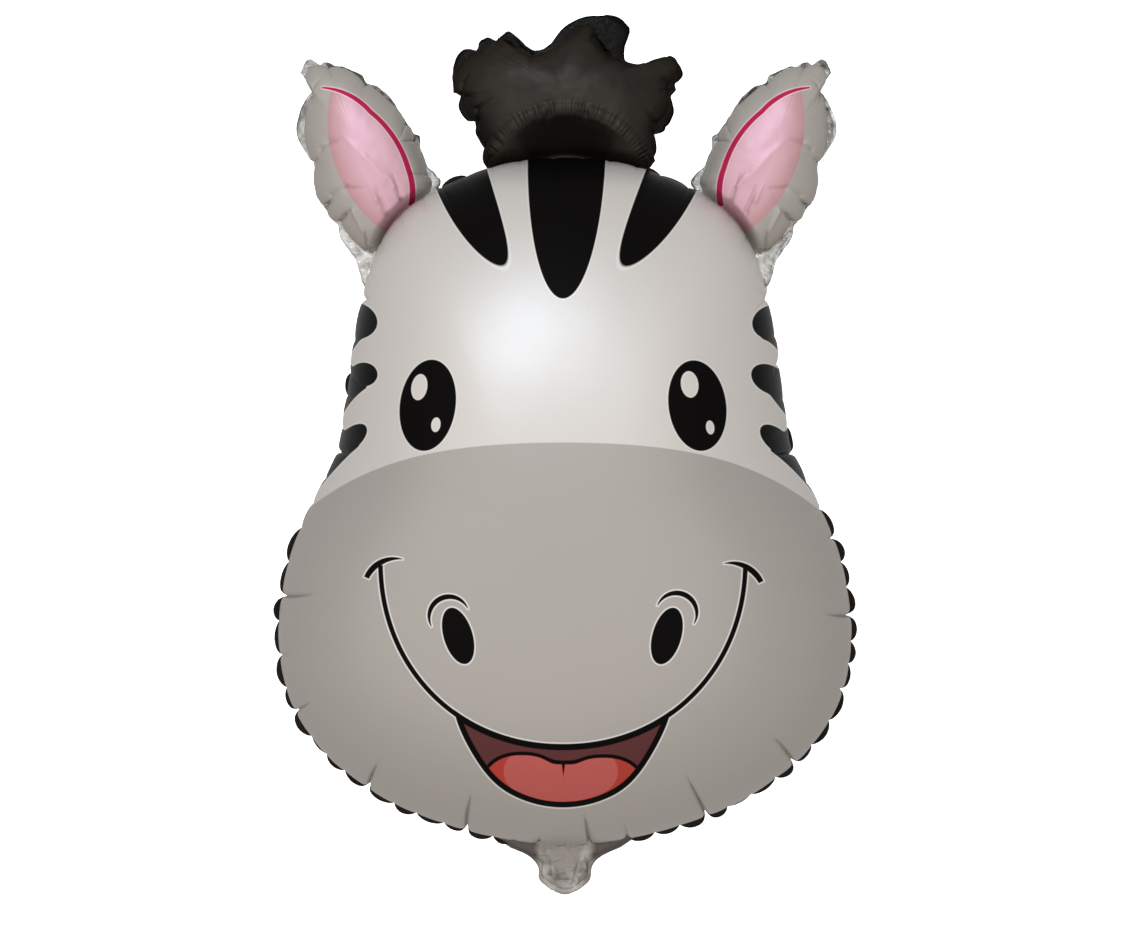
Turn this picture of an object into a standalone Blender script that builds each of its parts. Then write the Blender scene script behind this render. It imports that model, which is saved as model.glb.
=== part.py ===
"""A foil balloon shaped as a zebra's head, inflated and lying on its back with the face up.

Two sheets of foil are heat-sealed to each other along one outline: head, two ears, mane and
filling neck. Inflated, each of these swells into a pillow on both sides of the seam's plane,
and the seam gathers into scallops. All of it is one sealed envelope, so it is one solid.

Metres. X runs across the face, Y from the filling neck to the mane, Z up and out of the face.
"""

import bisect
import math
import random

import bmesh
import bpy
from mathutils import Vector

# Driving sizes, in metres
LENGTH = 0.750  # top of the mane to the end of the filling neck
HEAD_THICKNESS = 0.280
EAR_THICKNESS = 0.060
MANE_THICKNESS = 0.092
CHANNEL_THICKNESS = 0.014  # the swollen root of the filling neck
NECK_TAB_THICKNESS = 0.0032  # the neck's sheets and valve film, pressed flat
SEAM_WIDTH = 0.006
SEAM_THICKNESS = 0.0020
SCALLOP_PITCH = 0.024
SCALLOP_DEPTH = 0.0045
PINCH_LENGTH = 0.014  # an ordinary pucker between two scallops
PINCH_DEPTH = 0.0022
REST_DENT = 0.004  # how far the back is pressed in where it lies on the floor

SEAM_HEIGHT = HEAD_THICKNESS / 2 - REST_DENT
UNIT = LENGTH / 1000  # outlines and places below are in thousandths of the length

# Right half of the head's outline, from the crown to the chin
HEAD_HALF_OUTLINE = (
    (0, 344), (46, 341), (91, 331), (145, 309), (184, 284), (207, 257), (223, 224),
    (233, 187), (243, 141), (251, 85), (258, 39), (263, 11), (281, -29), (303, -74),
    (320, -120), (330, -176), (331, -217), (324, -262), (308, -302), (277, -344),
    (244, -372), (199, -401), (142, -424), (79, -441), (0, -450),
)
HEAD_CENTRE = (0, -97)
FOREHEAD_THINNING = 0.20  # share of the thickness that the narrower forehead loses at the crown

# Left ear, anticlockwise from the end of its tip, with its foot inside the head
EAR_OUTLINE = (
    (-291, 450), (-301, 436), (-294, 415), (-303, 390), (-306, 366), (-298, 343),
    (-288, 314), (-278, 286), (-263, 257), (-246, 230), (-234, 205), (-204, 196),
    (-158, 240), (-126, 290), (-134, 313), (-153, 324), (-163, 346), (-173, 371),
    (-187, 395), (-204, 416), (-231, 433), (-258, 444), (-278, 449),
)
EAR_CENTRE = (-222, 318)
EAR_WEBS = ((228, 34, 0.012), (6, 22, 0.008))  # flat corners of sheet: angle, spread, width

# Mane, clockwise from its foot on the left: notch, crest of the lobe, notch, and so on
MANE_LOBES = (
    (-92, 328), (-99, 344), (-101, 374), (-119, 386), (-119, 406), (-131, 430),
    (-119, 458), (-107, 462), (-98, 467), (-88, 476), (-76, 474), (-58, 484),
    (-32, 459), (-8, 479), (13, 493), (38, 500), (61, 494), (75, 483),
    (68, 450), (76, 440), (88, 443), (124, 450), (125, 424), (122, 414),
    (119, 404), (122, 386), (103, 361), (105, 345), (98, 326), (0, 290),
)
MANE_CENTRE = (0, 403)
BROW_CENTRE = (2, 312)  # the mane drops back below an arch about this point
BROW_RADIUS = 80
BROW_WIDTH = 30
BROW_HOLLOW = 0.62  # share of the mane's thickness lost below the arch

# Filling neck, right half, from inside the chin to its end
NECK_HALF_OUTLINE = (
    (72, -428), (60, -443), (36, -457), (30, -471), (29, -480), (24, -488), (12, -497), (0, -500),
)
CHANNEL_HALF_OUTLINE = ((0, -425), (20, -434), (23, -452), (18, -470), (8, -479), (0, -481))
CHANNEL_CENTRE = (0, -452)

# Long creases that run inwards from the seam: angle about the centre in degrees, length, depth
HEAD_CREASES = (
    (0.6, 0.010, 0.003), (21, 0.017, 0.004), (39.7, 0.014, 0.004), (50, 0.028, 0.005),
    (130, 0.016, 0.004), (158.6, 0.015, 0.004), (191, 0.036, 0.006), (202, 0.017, 0.003),
    (212.4, 0.019, 0.005), (231.4, 0.034, 0.007), (251.2, 0.040, 0.007), (265, 0.016, 0.005),
    (274.7, 0.035, 0.007), (281.8, 0.025, 0.004), (297.2, 0.047, 0.007), (315.8, 0.036, 0.007),
    (331.7, 0.012, 0.004), (345.4, 0.028, 0.005),
)
EAR_CREASES = (
    (36, 0.022, 0.004), (69, 0.020, 0.004), (92, 0.018, 0.003), (111, 0.012, 0.003), (128, 0.016, 0.004),
    (167, 0.026, 0.004), (211, 0.024, 0.004), (240, 0.020, 0.004), (262, 0.016, 0.003),
)
MANE_CREASE = (0.020, 0.004)  # length and depth of the crease at each notch between its lobes

SWELL_POWER = 2.8  # (1 - r ** 2.8) ** 0.5 is the profile of two inflated discs of foil
LOBE_STEPS = 3  # points along the seam for each scallop
MANE_LOBE_STEPS = 5
THINNED_SHARE = 0.5  # over this inner share of the rings, one point stays for each scallop


def metres(point):
    """A place given in thousandths of the length, as a point in the seam's plane."""
    return Vector((point[0] * UNIT, point[1] * UNIT))


def mirrored(half):
    """A whole outline from its right half, whose first and last points may lie on the middle line."""
    left = [(-x, y) for x, y in reversed(half) if x > 0]
    return list(half) + left


def smooth_loop(points, steps=8):
    """A closed curve through the points, as many short chords."""
    knots = [metres(p) for p in points]
    count = len(knots)
    loop = []
    for i in range(count):
        before, start, end, after = (knots[(i + k - 1) % count] for k in range(4))
        for step in range(steps):
            t = step / steps
            loop.append(0.5 * (
                2 * start
                + (end - before) * t
                + (2 * before - 5 * start + 4 * end - after) * t ** 2
                + (3 * start - before - 3 * end + after) * t ** 3
            ))
    return loop


def lobed_loop(points, steps=10):
    """A closed curve of round lobes, each given by a notch and its crest."""
    knots = [metres(p) for p in points]
    loop = []
    for i in range(0, len(knots), 2):
        notch, crest, following = knots[i], knots[i + 1], knots[(i + 2) % len(knots)]
        rise = crest - (notch + following) / 2
        for step in range(steps):
            t = step / steps
            loop.append(notch.lerp(following, t) + rise * math.sin(math.pi * t) ** 0.8)
    return loop


class Rim:
    """A closed outline seen from a centre, which every ray from the centre meets once."""

    def __init__(self, loop, centre, smoothing_deg=0):
        self.centre = metres(centre)
        rays = sorted(
            (math.atan2(p.y - self.centre.y, p.x - self.centre.x) % math.tau, (p - self.centre).length)
            for p in loop
        )
        self.angles = [a for a, _ in rays]
        self.radii = [r for _, r in rays]
        self.smoothing = math.radians(smoothing_deg)

    def radius(self, angle):
        angle %= math.tau
        after = bisect.bisect_right(self.angles, angle) % len(self.angles)
        before = after - 1
        span = (self.angles[after] - self.angles[before]) % math.tau
        share = ((angle - self.angles[before]) % math.tau) / span if span else 0
        return self.radii[before] + share * (self.radii[after] - self.radii[before])

    def mean_radius(self, angle):
        """The radius with the lobes smoothed away."""
        if not self.smoothing:
            return self.radius(angle)
        taps = [self.radius(angle + self.smoothing * k / 4) for k in range(-4, 5)]
        return sum(taps) / len(taps)

    def point(self, angle, radius):
        return self.centre + Vector((math.cos(angle), math.sin(angle))) * radius


def pinches_between(rim, creases, seed):
    """Angles where the seam is pinched: one at each long crease, and others a scallop apart."""
    chance = random.Random(seed)
    anchors = sorted(math.radians(c[0]) % math.tau for c in creases)
    pinches = []
    for start, end in zip(anchors, anchors[1:] + [anchors[0] + math.tau]):
        run = (end - start) * rim.radius((start + end) / 2)
        lobes = max(1, round(run / SCALLOP_PITCH))
        pinches.append(start)
        for k in range(1, lobes):
            pinches.append(start + (end - start) * (k + chance.uniform(-0.16, 0.16)) / lobes)
    return pinches


def stations_along(pinches, steps):
    """(angle, share of the scallop passed) for every point along the seam."""
    stations = []
    for start, end in zip(pinches, pinches[1:] + [pinches[0] + math.tau]):
        for step in range(steps):
            share = step / steps
            stations.append((start + (end - start) * share, share))
    return stations


def crease_at(angle, creases):
    """(length, depth) of the crease that starts at this pinch."""
    for degrees, length, depth in creases:
        if abs((angle - math.radians(degrees) + math.pi) % math.tau - math.pi) < 1e-6:
            return length, depth
    return PINCH_LENGTH, PINCH_DEPTH


def web_width(angle, webs):
    """How much wider the flat seam is at the corners where sheet is left between two shapes."""
    width = 0
    for degrees, spread, most in webs:
        off = abs((angle - math.radians(degrees) + math.pi) % math.tau - math.pi) / math.radians(spread)
        width += most * max(0.0, 1 - off * off)
    return width


def notch_creases(rim, lobes):
    """A crease at every notch between two lobes."""
    creases = []
    for notch in lobes[::2]:
        ray = metres(notch) - rim.centre
        creases.append((math.degrees(math.atan2(ray.y, ray.x)), *MANE_CREASE))
    return creases


def pillow(
    name, rim, thickness, creases, rings, seed, notch=SCALLOP_DEPTH, hollow=None, webs=(), steps=LOBE_STEPS,
):
    """One inflated part of the balloon: a sphere whose equator is drawn out to the seam."""
    stations = stations_along(pinches_between(rim, creases, seed), steps)
    mesh = bpy.data.meshes.new(name)
    bm = bmesh.new()
    bmesh.ops.create_uvsphere(bm, u_segments=len(stations), v_segments=2 * rings, radius=1)
    half = thickness / 2
    places = {}
    for vert in bm.verts:
        ring = round(math.asin(max(-1, min(1, vert.co.z))) / (math.pi / 2) * rings)
        turn = math.atan2(-vert.co.x, vert.co.y) / math.tau  # the sphere's columns start at +Y
        station = round(turn * len(stations)) % len(stations)
        side = (ring > 0) - (ring < 0)
        ring = abs(ring)
        angle, share = stations[station]
        outer = rim.radius(angle) - notch * (1 - math.sin(math.pi * share)) ** 2
        seam = SEAM_WIDTH + web_width(angle, webs)
        foot = rim.radius(angle) - seam
        if ring == 0:
            spot = rim.point(angle, max(outer, foot + SEAM_WIDTH / 4)).to_3d()
            spot.z = SEAM_HEIGHT
        else:
            tilt = (ring - 1) / (rings - 1) * math.pi / 2
            reach = math.cos(tilt)
            blend = reach ** 5
            flat_radius = reach * (foot * blend + (rim.mean_radius(angle) - seam) * (1 - blend))
            flat = rim.point(angle, flat_radius)
            swell = max(0.0, 1 - reach ** SWELL_POWER) ** 0.5
            if hollow:
                swell *= hollow(flat)
            height = SEAM_THICKNESS / 2 + (half - SEAM_THICKNESS / 2) * swell
            if share == 0:
                length, depth = crease_at(angle, creases)
                fade = max(0.0, 1 - (1 - reach) * foot / length)
                pull = depth * fade
                flat = flat - (flat - rim.centre).normalized() * pull
                height = max(SEAM_THICKNESS / 2, height - pull * swell ** 0.5)
            spot = flat.to_3d()
            spot.z = max(0.0, SEAM_HEIGHT + side * height)
        vert.co = spot
        places[ring, side, station] = vert
    thin_out(bm, places, len(stations), rings, steps)
    bmesh.ops.recalc_face_normals(bm, faces=bm.faces)
    bm.to_mesh(mesh)
    bm.free()
    return bpy.data.objects.new(name, mesh)


def thin_out(bm, places, count, rings, steps):
    """Welds each scallop's points together on the inner rings, where the surface is smooth."""
    targets = {}
    for ring in range(round(rings * THINNED_SHARE), rings):
        for side in (-1, 1):
            for station in range(count):
                kept = station - station % steps
                if station != kept:
                    targets[places[ring, side, station]] = places[ring, side, kept]
    bmesh.ops.weld_verts(bm, targetmap=targets)


def flat_tab(name, half_outline, thickness):
    """A flat piece of sealed sheet in the seam's plane."""
    curve = bpy.data.curves.new(name, "CURVE")
    curve.dimensions = "2D"
    curve.fill_mode = "BOTH"
    curve.extrude = thickness / 2
    points = [metres(p) for p in mirrored(half_outline)]
    spline = curve.splines.new("POLY")
    spline.points.add(len(points) - 1)
    for point, place in zip(spline.points, points):
        point.co = (place.x, place.y, 0, 1)
    spline.use_cyclic_u = True
    outline = bpy.data.objects.new(name, curve)
    outline.location.z = SEAM_HEIGHT
    bpy.context.scene.collection.objects.link(outline)
    bpy.context.view_layer.update()
    mesh = bpy.data.meshes.new_from_object(outline.evaluated_get(bpy.context.evaluated_depsgraph_get()))
    mesh.transform(outline.matrix_world)
    bpy.data.objects.remove(outline)
    bm = bmesh.new()
    bm.from_mesh(mesh)
    bmesh.ops.remove_doubles(bm, verts=bm.verts, dist=1e-5)
    bm.to_mesh(mesh)
    bm.free()
    return bpy.data.objects.new(name, mesh)


def material(name, colour, roughness, metallic):
    made = bpy.data.materials.new(name)
    made.use_nodes = True
    shader = made.node_tree.nodes["Principled BSDF"]
    shader.inputs["Base Color"].default_value = (*colour, 1)
    shader.inputs["Roughness"].default_value = roughness
    shader.inputs["Metallic"].default_value = metallic
    return made


def forehead_hollow(flat):
    """The forehead is narrower than the muzzle, so it swells less."""
    crown = HEAD_HALF_OUTLINE[0][1] - HEAD_CENTRE[1]
    rise = max(0.0, min(1.0, (flat.y / UNIT - HEAD_CENTRE[1]) / crown))
    return 1 - FOREHEAD_THINNING * rise * rise * (3 - 2 * rise)


def brow_hollow(flat):
    """Below its arch-shaped brow the mane drops back to the valley over the head."""
    inside = (BROW_RADIUS - (flat - metres(BROW_CENTRE)).length / UNIT) / BROW_WIDTH
    share = max(0.0, min(1.0, inside))
    return 1 - BROW_HOLLOW * share * share * (3 - 2 * share)


def clear_scene():
    for obj in list(bpy.data.objects):
        bpy.data.objects.remove(obj)


def build():
    clear_scene()
    balloon_parts = bpy.data.collections.new("zebra_head_foil_balloon")
    joined_shapes = bpy.data.collections.new("shapes_joined_to_the_head")
    bpy.context.scene.collection.children.link(balloon_parts)
    bpy.context.scene.collection.children.link(joined_shapes)

    pearl = material("pearl_white_print", (0.66, 0.62, 0.58), 0.38, 0.35)
    black = material("black_print", (0.012, 0.011, 0.010), 0.36, 0.10)
    silver = material("bare_silver_foil", (0.52, 0.50, 0.46), 0.26, 0.80)

    head_rim = Rim(smooth_loop(mirrored(HEAD_HALF_OUTLINE)), HEAD_CENTRE)
    envelope = pillow(
        "foil_envelope", head_rim, HEAD_THICKNESS, HEAD_CREASES, rings=10, seed=4,
        hollow=forehead_hollow,
    )
    balloon_parts.objects.link(envelope)
    envelope.data.materials.append(pearl)

    ear_rim = Rim(smooth_loop(EAR_OUTLINE), EAR_CENTRE, smoothing_deg=12)
    left_ear = pillow(
        "left_ear", ear_rim, EAR_THICKNESS, EAR_CREASES, rings=7, seed=2, webs=EAR_WEBS,
    )
    left_ear.data.materials.append(silver)

    right_outline = [(-x, y) for x, y in EAR_OUTLINE]
    right_rim = Rim(smooth_loop(right_outline), (-EAR_CENTRE[0], EAR_CENTRE[1]), smoothing_deg=12)
    right_creases = [(180 - degrees, length, depth) for degrees, length, depth in EAR_CREASES]
    right_webs = [(180 - degrees, spread, width) for degrees, spread, width in EAR_WEBS]
    right_ear = pillow(
        "right_ear", right_rim, EAR_THICKNESS, right_creases, rings=7, seed=2, webs=right_webs,
    )
    right_ear.data.materials.append(silver)

    mane_rim = Rim(lobed_loop(MANE_LOBES), MANE_CENTRE, smoothing_deg=26)
    mane = pillow(
        "mane", mane_rim, MANE_THICKNESS, notch_creases(mane_rim, MANE_LOBES), rings=8, seed=6,
        notch=SCALLOP_DEPTH / 3, hollow=brow_hollow, steps=MANE_LOBE_STEPS,
    )
    mane.data.materials.append(black)

    neck_tab = flat_tab("neck_tab", NECK_HALF_OUTLINE, NECK_TAB_THICKNESS)
    neck_tab.data.materials.append(silver)

    channel_rim = Rim(smooth_loop(mirrored(CHANNEL_HALF_OUTLINE)), CHANNEL_CENTRE)
    channel = pillow(
        "filling_channel", channel_rim, CHANNEL_THICKNESS, ((90, 0.004, 0.001),), rings=5, seed=1,
        notch=0,
    )
    channel.data.materials.append(silver)

    for shape in (neck_tab, channel, left_ear, right_ear, mane):
        joined_shapes.objects.link(shape)
        shape.hide_render = True
        shape.display_type = "WIRE"
        union = envelope.modifiers.new("join_" + shape.name, "BOOLEAN")
        union.operation = "UNION"
        union.solver = "EXACT"
        union.material_mode = "TRANSFER"
        union.object = shape


build()
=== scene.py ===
# A zebra head foil balloon, lying on its back: printed foil, gathered seams, pale floor, soft light

import math
import random

import bpy
import numpy as np
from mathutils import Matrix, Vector, noise


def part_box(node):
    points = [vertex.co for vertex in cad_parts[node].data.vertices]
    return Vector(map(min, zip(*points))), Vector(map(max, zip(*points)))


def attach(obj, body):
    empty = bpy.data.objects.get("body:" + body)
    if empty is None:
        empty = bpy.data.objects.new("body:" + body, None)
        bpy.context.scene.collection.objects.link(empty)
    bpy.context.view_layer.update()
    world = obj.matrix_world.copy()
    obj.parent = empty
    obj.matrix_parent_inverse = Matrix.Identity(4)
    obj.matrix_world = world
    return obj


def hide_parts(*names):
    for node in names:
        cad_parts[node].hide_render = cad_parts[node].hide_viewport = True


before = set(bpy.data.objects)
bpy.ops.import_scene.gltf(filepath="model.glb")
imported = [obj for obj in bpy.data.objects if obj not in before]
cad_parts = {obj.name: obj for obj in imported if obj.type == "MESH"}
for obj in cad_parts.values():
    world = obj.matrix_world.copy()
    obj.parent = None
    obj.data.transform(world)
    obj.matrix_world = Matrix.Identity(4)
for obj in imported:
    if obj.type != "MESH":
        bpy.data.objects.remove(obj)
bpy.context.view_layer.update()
low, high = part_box("foil_envelope")
print("frame loaded")

mm = 0.001

# Sizes of the whole balloon, in metres
balloon = {
    "length": high.y - low.y,
    "thickness": 0.280,  # of the head, before its back is pressed in by the floor
    "seamHeight": high.z - 0.140,  # the seam's plane lies half a thickness under the face
    "foilThickness": 0.0006,
}
unit = balloon["length"] / 1000  # outlines are in thousandths of the length
seamHeight = balloon["seamHeight"]


def spot(point):
    return np.array(point, float) * unit


def closedLoop(points, steps=8):
    # A smooth curve through the points and back to the first
    knots = [spot(p) for p in points]
    loop = []
    for i in range(len(knots)):
        before, start, end, after = (knots[(i + k - 1) % len(knots)] for k in range(4))
        for step in range(steps):
            t = step / steps
            loop.append(0.5 * (
                2 * start
                + (end - before) * t
                + (2 * before - 5 * start + 4 * end - after) * t ** 2
                + (3 * start - before - 3 * end + after) * t ** 3
            ))
    return np.array(loop)


def bothHalves(half):
    return list(half) + [(-x, y) for x, y in reversed(half) if x > 0]


class Rim:
    # The seam's outline, seen from a centre that every part of it faces
    def __init__(self, loop, centre, smoothing=0):
        self.centre = spot(centre)
        rays = loop - self.centre
        angles = np.arctan2(rays[:, 1], rays[:, 0]) % math.tau
        order = np.argsort(angles)
        self.angles = angles[order]
        self.radii = np.hypot(rays[:, 0], rays[:, 1])[order]
        self.smoothing = math.radians(smoothing)

    def radius(self, angle):
        return np.interp(np.asarray(angle) % math.tau, self.angles, self.radii, period=math.tau)

    def meanRadius(self, angle):
        taps = [self.radius(angle + self.smoothing * k / 4) for k in range(-4, 5)]
        return sum(taps) / len(taps)


# Head
head = {
    "outline": (
        (0, 344), (46, 341), (91, 331), (145, 309), (184, 284), (207, 257), (223, 224),
        (233, 187), (243, 141), (251, 85), (258, 39), (263, 11), (281, -29), (303, -74),
        (320, -120), (330, -176), (331, -217), (324, -262), (308, -302), (277, -344),
        (244, -372), (199, -401), (142, -424), (79, -441), (0, -450),
    ),
    "centre": (0, -97),
    "thickness": balloon["thickness"],
    "seamWidth": 0.0055,  # from the swollen foil's edge to the scallops' crests
    "pitch": 0.024,  # metres from one short pinch to the next
    "swellPower": 2.8,  # profile of two inflated discs of foil: (1 - r ** 2.8) ** 0.5
    "puff": 0.0005,  # metres that the foil swells out between the pinches of its seam
    "pinchDepth": 0.03,  # of a short pinch, for each metre of its length
    "foreheadThinning": 0.20,
    # Long creases: the angle where each leaves the seam, its inner end and its depth in millimetres
    "creases": (
        (0.6, (224, -70), 3.0), (21, (171, 2), 3.5), (39.7, (175, 88), 3.0), (50, (158, 120), 2.0),
        (130, (-162, 137), 3.5), (158.6, (-181, 2), 3.5), (191, (-207, -118), 4.5),
        (202, (-226, -167), 2.0), (212.4, (-213, -207), 4.0), (231.4, (-159, -254), 5.5),
        (251.2, (-83, -279), 5.5), (265, (-21, -324), 4.0), (274.7, (15, -300), 5.5),
        (281.8, (50, -306), 3.0), (297.2, (102, -265), 5.5), (315.8, (176, -231), 5.5),
        (331.7, (228, -196), 3.0), (345.4, (215, -135), 4.5),
    ),
    "folds": (((147, 145), (176, 131), 1.8, 1.5), ((-160, 137), (-166, 131), 1.5, 1.0)),
    "scallops": (0.65, 1.15),  # their heights, as shares of the seam's width
    "lowScallop": (0.12, 0.4),  # how many are lower, and how low
    "cheekLine": -0.055,  # metres up the length, above which the scallops are folded flat
    "openFold": (0.25, 0.6),  # how many of those are half open, and their height
    "flatFold": 0.18,
    "columns": 12,  # across one scallop
    "rings": 46,
    "ringPower": 1.5,
    "wobble": 0.0,
    "crumple": 0.0004,
    "seed": 4,
    "bandSeed": 11,
}

# Left ear; the right one is its mirror image. The swollen body ends where the flat seam band starts.
ear = {
    "body": (
        (-292, 434), (-289, 439), (-283, 441), (-276, 441), (-266, 440), (-256, 439), (-244, 434),
        (-235, 428), (-228, 422), (-222, 419), (-215, 414), (-206, 406), (-198, 398), (-194, 395),
        (-188, 387), (-180, 376), (-173, 363), (-169, 356), (-166, 346), (-161, 335), (-158, 323),
        (-152, 306), (-170, 272), (-197, 232), (-209, 226), (-219, 228), (-228, 233), (-233, 238),
        (-240, 245), (-248, 254), (-254, 262), (-259, 265), (-264, 268), (-268, 274), (-270, 282),
        (-276, 285), (-280, 293), (-283, 304), (-284, 316), (-284, 326), (-286, 331), (-289, 339),
        (-292, 348), (-294, 358), (-295, 368), (-294, 381), (-293, 395), (-291, 403), (-288, 412),
        (-291, 418), (-295, 424), (-295, 430),
    ),
    "band": (
        (-290, 450), (-286, 448), (-281, 442), (-276, 444), (-273, 446), (-266, 445), (-263, 441),
        (-258, 440), (-255, 441), (-252, 441), (-245, 437), (-235, 433), (-229, 429), (-226, 424),
        (-222, 420), (-217, 420), (-208, 414), (-199, 406), (-193, 397), (-187, 387), (-179, 376),
        (-172, 365), (-165, 361), (-165, 353), (-164, 344), (-159, 333), (-156, 326), (-146, 318),
        (-142, 305), (-170, 272), (-197, 219), (-219, 194), (-229, 190), (-231, 196), (-234, 205),
        (-235, 217), (-238, 222), (-243, 229), (-248, 236), (-254, 244), (-257, 253), (-258, 260),
        (-264, 266), (-268, 270), (-270, 276), (-275, 282), (-278, 287), (-281, 294), (-284, 304),
        (-285, 318), (-285, 326), (-286, 330), (-288, 334), (-294, 343), (-299, 352), (-303, 358),
        (-305, 363), (-305, 373), (-303, 385), (-299, 395), (-294, 404), (-289, 412), (-293, 418),
        (-297, 425), (-300, 432), (-298, 438), (-296, 444),
    ),
    "middle": 1.15,  # the two ears' middle line
    "centre": (-222, 318),
    "seamWidth": 0,
    "smoothing": 14,  # degrees over which the outline's turns are evened out inwards
    "pitch": 0.045,
    "pinchedFlat": (0.005, 0.008),  # metres: flat so far inside the head's edge, full so far from there
    "thickness": 0.062,
    "swellPower": 2.1,
    "puff": 0.0010,
    "pinchDepth": 0.09,
    "creases": (
        (36, (-138, 266), 2.0), (54, (-146, 292), 1.6), (92, (-171, 308), 1.5), (111, (-198, 322), 1.2),
        (125.4, (-209, 317), 2.5), (168.8, (-207, 258), 2.8), (216.3, (-196, 217), 2.8),
        (238, (-182, 205), 2.6), (268, (-170, 188), 2.5),
    ),
    # Dents in the front, in millimetres: faint end, deep end, half width, depth (a ridge's is below 0)
    "folds": (
        ((-208, 318), (-217, 309), 1.5, 3.4), ((-199, 264), (-207, 258), 1.6, 2.6),
        ((-184, 269), (-200, 264), 1.6, 2.2), ((-187, 268), (-152, 233), 5.5, -2.0),
        ((-189, 225), (-198, 219), 1.6, 2.2), ((-188, 226), (-183, 229), 1.1, -1.2),
        ((-181, 208), (-187, 202), 1.5, 2.0), ((-169, 183), (-179, 206), 2.2, -2.8),
        ((-169, 184), (-163, 171), 1.7, 3.0), ((-145, 237), (-138, 214), 1.5, 3.6),
        ((-151, 237), (-144, 226), 1.6, -2.0), ((-160, 228), (-150, 203), 1.5, 3.6),
        ((-166, 228), (-159, 214), 1.8, -2.2), ((-165, 224), (-184, 224), 2.0, 1.8),
        ((-171, 316), (-176, 312), 1.3, 1.0), ((-128, 225), (-126, 211), 1.5, 2.4),
    ),
    "columns": 22,
    "rings": 72,
    "ringPower": 1.15,
    "wobble": 0.0003,
    "crumple": 0.002,
    # How bright each lobe of the bare seam is painted, as painted shade and painted reflection of the
    # crinkled foil: least and most, up to each angle in radians. Along the upper inner edge it is folded
    # behind, out of the light, and painted dark as shade.
    "seamShades": ((0.6, 0.5, 0.6), (1.95, 0.0, 0.25), (2.3, 0.5, 0.6), (math.tau, 0.6, 1.0)),
    "seed": 2,
    "bandSeed": 21,
}

mane = {
    "body": (
        (-91, 331), (-91, 351), (-95, 363), (-101, 376), (-107, 384), (-114, 396), (-118, 407),
        (-124, 410), (-126, 420), (-125, 430), (-118, 443), (-109, 452), (-98, 462), (-90, 465),
        (-76, 471), (-68, 467), (-58, 461), (-49, 457), (-38, 452), (-28, 456), (-13, 462), (-5, 469),
        (6, 477), (13, 483), (24, 488), (31, 486), (35, 477), (40, 463), (50, 451), (63, 446), (78, 442),
        (90, 443), (99, 446), (108, 450), (117, 451), (124, 447), (127, 439), (124, 430), (118, 421),
        (119, 414), (117, 407), (117, 398), (111, 385), (102, 375), (100, 364), (98, 351), (97, 331),
        (60, 300), (0, 292), (-60, 300),
    ),
    "band": (
        (-91, 331), (-93, 343), (-93, 349), (-97, 356), (-102, 366), (-102, 376), (-110, 379),
        (-116, 385), (-121, 395), (-119, 408), (-125, 409), (-127, 411), (-127, 422), (-128, 432),
        (-126, 446), (-122, 454), (-116, 460), (-107, 461), (-103, 459), (-99, 462), (-98, 468),
        (-93, 472), (-87, 474), (-78, 471), (-71, 477), (-65, 480), (-58, 479), (-52, 474), (-46, 466),
        (-39, 461), (-32, 459), (-25, 461), (-16, 467), (-9, 476), (-2, 485), (6, 490), (15, 495),
        (27, 498), (40, 499), (54, 499), (63, 496), (71, 489), (76, 482), (74, 478), (70, 472), (68, 463),
        (68, 455), (69, 447), (78, 444), (90, 445), (99, 449), (108, 453), (117, 454), (125, 450),
        (131, 441), (134, 434), (131, 427), (125, 421), (126, 413), (120, 408), (122, 400), (124, 389),
        (119, 378), (113, 368), (107, 365), (102, 364), (103, 355), (104, 345), (101, 337), (100, 330),
        (60, 296), (0, 288), (-60, 296),
    ),
    "centre": (0, 403),
    "seamWidth": 0,
    "smoothing": 20,
    "pitch": 0.08,
    "pinchedFlat": (0.006, 0.009),
    "thickness": 0.092,
    "swellPower": 2.3,
    "puff": 0.0010,
    "pinchDepth": 0.08,
    "creases": (
        (177.6, (-84, 303), 2.0), (195, (-77, 290), 2.4), (122, (-28, 330), 2.4), (339, (80, 287), 2.4),
        (6, (86, 309), 1.8), (24, (62, 328), 1.5), (210, (-66, 272), 1.5), (150, (-76, 340), 1.2),
        (139, (-58, 346), 1.0), (64, (22, 352), 1.5), (325, (66, 262), 1.5), (270, (0, 230), 1.0),
    ),
    "folds": (
        ((-81, 323), (-88, 314), 2.0, 2.8), ((-87, 316), (-88, 304), 2.0, 2.4),
        ((-63, 300), (-76, 292), 2.2, 3.2), ((-75, 294), (-76, 281), 2.2, 3.0),
        ((-30, 325), (-28, 340), 2.0, 2.4), ((66, 293), (78, 280), 2.2, 3.4),
        ((82, 320), (90, 311), 2.0, 2.6), ((-13, 301), (-14, 284), 1.7, 3.4),
        ((19, 302), (17, 284), 1.7, 3.4), ((65, 326), (60, 332), 1.4, 1.4),
        ((77, 328), (74, 336), 1.4, 1.4), ((72, 326), (70, 334), 1.2, 1.0),
    ),
    "browCentre": (1, 282),  # below this arch the mane drops back to the valley over the head
    "browRadius": 98,
    "browSlope": 40,  # from the arch down to the valley's floor
    "browShoulder": (18, 0.05),  # a slight fall before the arch: its width, and its share of the thickness
    # Lip and groove above the arch: distance from it, width, and share of the thickness
    "lip": ((7, 6, 0.06), (16, 3, -0.018)),
    "pleats": {"above": 8, "reach": 0.0070, "drum": 0.06, "pitch": 460, "height": 3.0},
    "columns": 30,
    "rings": 80,
    "ringPower": 1.15,
    "wobble": 0.0004,
    "crumple": 0.0018,
    "seed": 6,
    "bandSeed": 31,
}

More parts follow.
